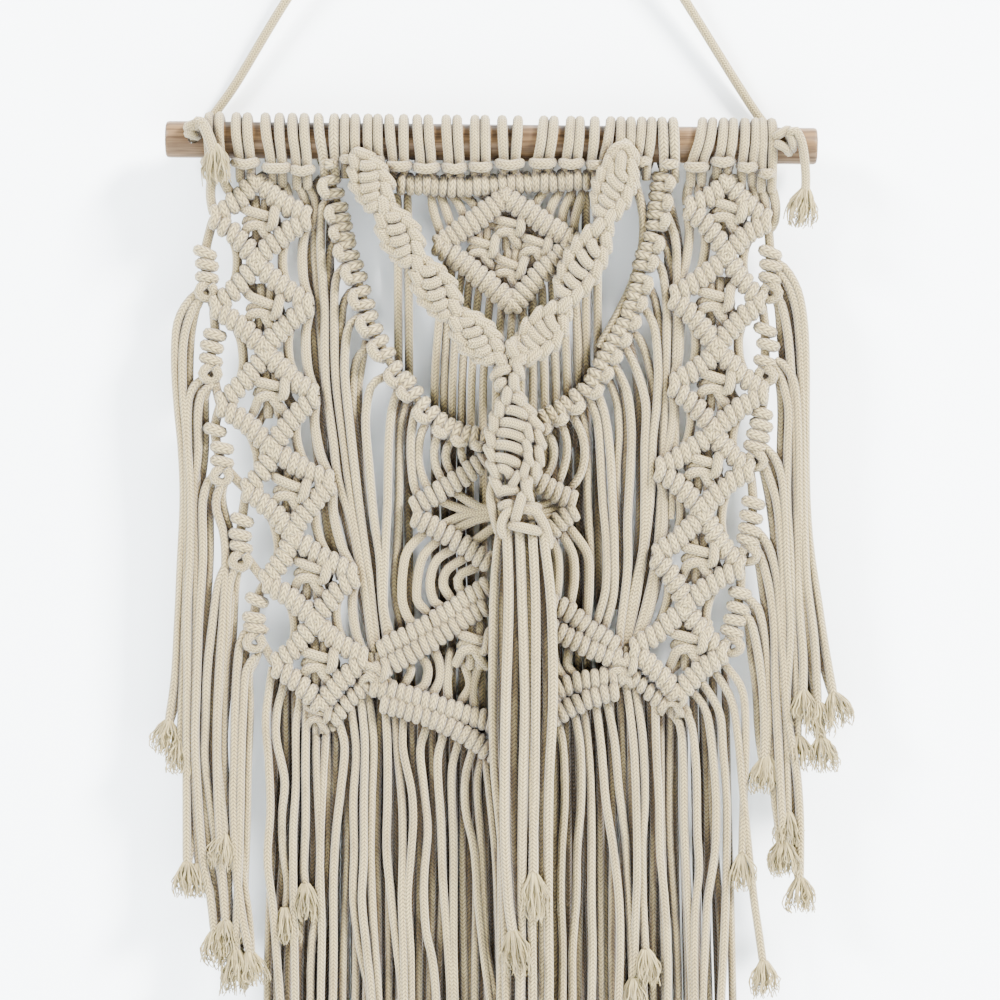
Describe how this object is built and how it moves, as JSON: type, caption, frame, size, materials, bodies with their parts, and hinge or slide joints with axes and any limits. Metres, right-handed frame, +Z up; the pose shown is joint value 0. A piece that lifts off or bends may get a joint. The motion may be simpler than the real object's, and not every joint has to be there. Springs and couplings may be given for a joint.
{
  "type": "macrame wall hanging on a wooden dowel with a hanging cord",
  "caption": "Knotted cotton cord wall hanging with diamond side panels, a U neckline, twisted sennits, tassel and long fringe, on a round wooden dowel with a hanger cord.",
  "frame": {"origin": "where the nail or hook holds the hanger cord, at the underside of the cord", "axes": "+X along the dowel to the right as seen from the front, +Y towards the wall, +Z up"},
  "size_m": [0.3567, 0.0489, 0.8648],
  "materials": {
    "wood": "satin",
    "cotton": "matte",
    "hanger": "matte"
  },
  "bodies": {
    "root": {"dowel": "wood", "hanger_cord": "hanger", "hanger_end_left": "hanger", "hanger_end_right": "hanger", "panel_left": "cotton", "panel_right": "cotton", "side_fringe_left": "cotton", "side_fringe_right": "cotton", "neck_curtain": "cotton", "centre_piece": "cotton", "back_fringe": "cotton", "sennit_left": "cotton", "sennit_right": "cotton", "sennit_joined": "cotton", "gathering_knot": "cotton", "tassel": "cotton", "butterfly": "cotton", "hip_net": "cotton", "fringe_front": "cotton"}
  },
  "joints": []
}
